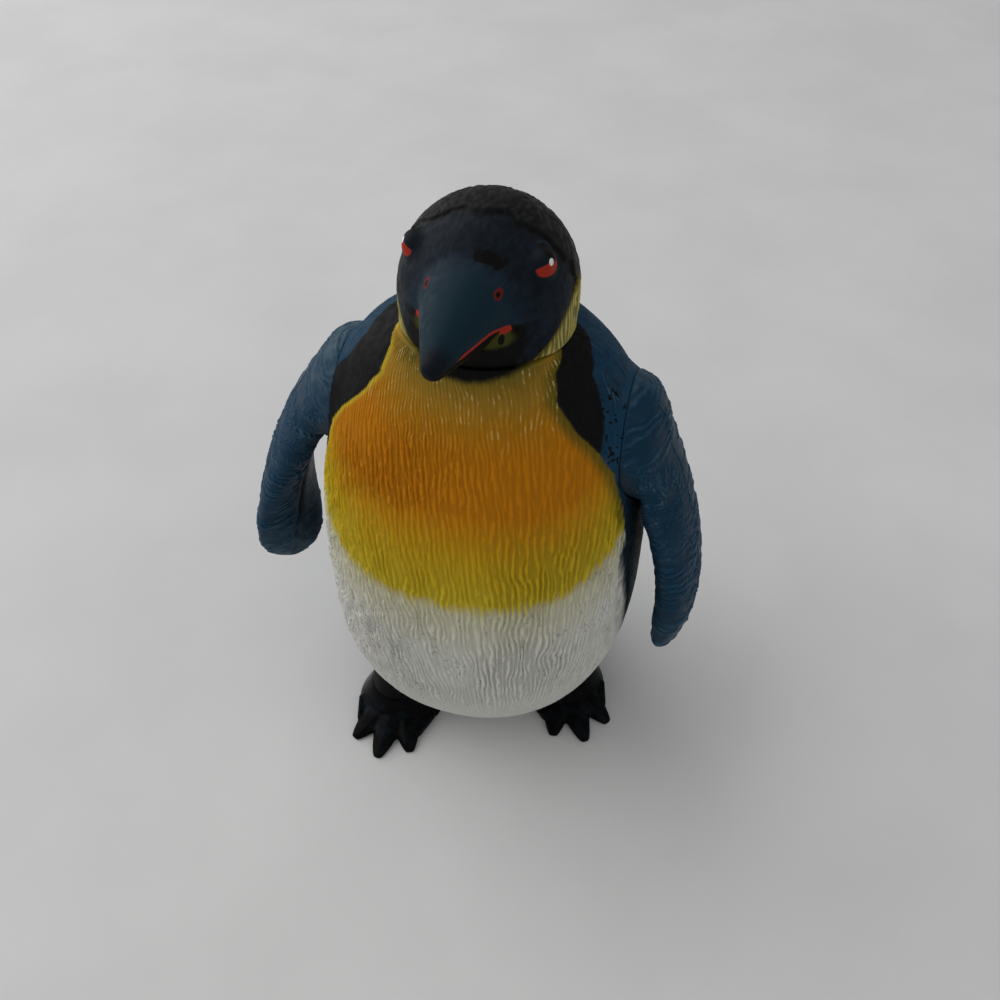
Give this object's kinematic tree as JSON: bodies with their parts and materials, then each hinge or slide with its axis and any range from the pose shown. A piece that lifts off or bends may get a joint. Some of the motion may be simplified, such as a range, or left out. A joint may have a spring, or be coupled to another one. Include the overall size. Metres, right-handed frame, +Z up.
{
  "type": "penguin figurine",
  "caption": "Standing penguin figure of painted cast vinyl, with a head and flippers that turn on round flanged plugs, webbed feet set into the body and a short tail.",
  "frame": {"origin": "on the floor, under the middle of the figure's box", "axes": "+Z up, -Y the way the bird looks, +X the bird's left"},
  "size_m": [0.1028, 0.074, 0.13],
  "materials": {
    "torso_vinyl": "matte painted vinyl",
    "head_vinyl": "matte painted vinyl",
    "flipper_vinyl": "matte painted vinyl",
    "foot_vinyl": "glossy black vinyl"
  },
  "bodies": {
    "torso": {"torso_shell": "torso_vinyl", "left_foot": "foot_vinyl", "right_foot": "foot_vinyl"},
    "head": {"head_shell": "head_vinyl"},
    "left_flipper": {"left_flipper": "flipper_vinyl"},
    "right_flipper": {"right_flipper": "flipper_vinyl"}
  },
  "joints": [
    {"name": "head_turn", "type": "hinge", "parent": "torso", "child": "head", "pos_m": [0.00276, 0.00046, 0.106], "axis": [0, 0, 1], "continuous": true},
    {"name": "left_flipper_turn", "type": "hinge", "parent": "torso", "child": "left_flipper", "pos_m": [0.03226, 0.00046, 0.084], "axis": [0.9976, 0, 0.0698], "continuous": true},
    {"name": "right_flipper_turn", "type": "hinge", "parent": "torso", "child": "right_flipper", "pos_m": [-0.02674, 0.00046, 0.084], "axis": [0.9976, 0, -0.0698], "continuous": true}
  ]
}
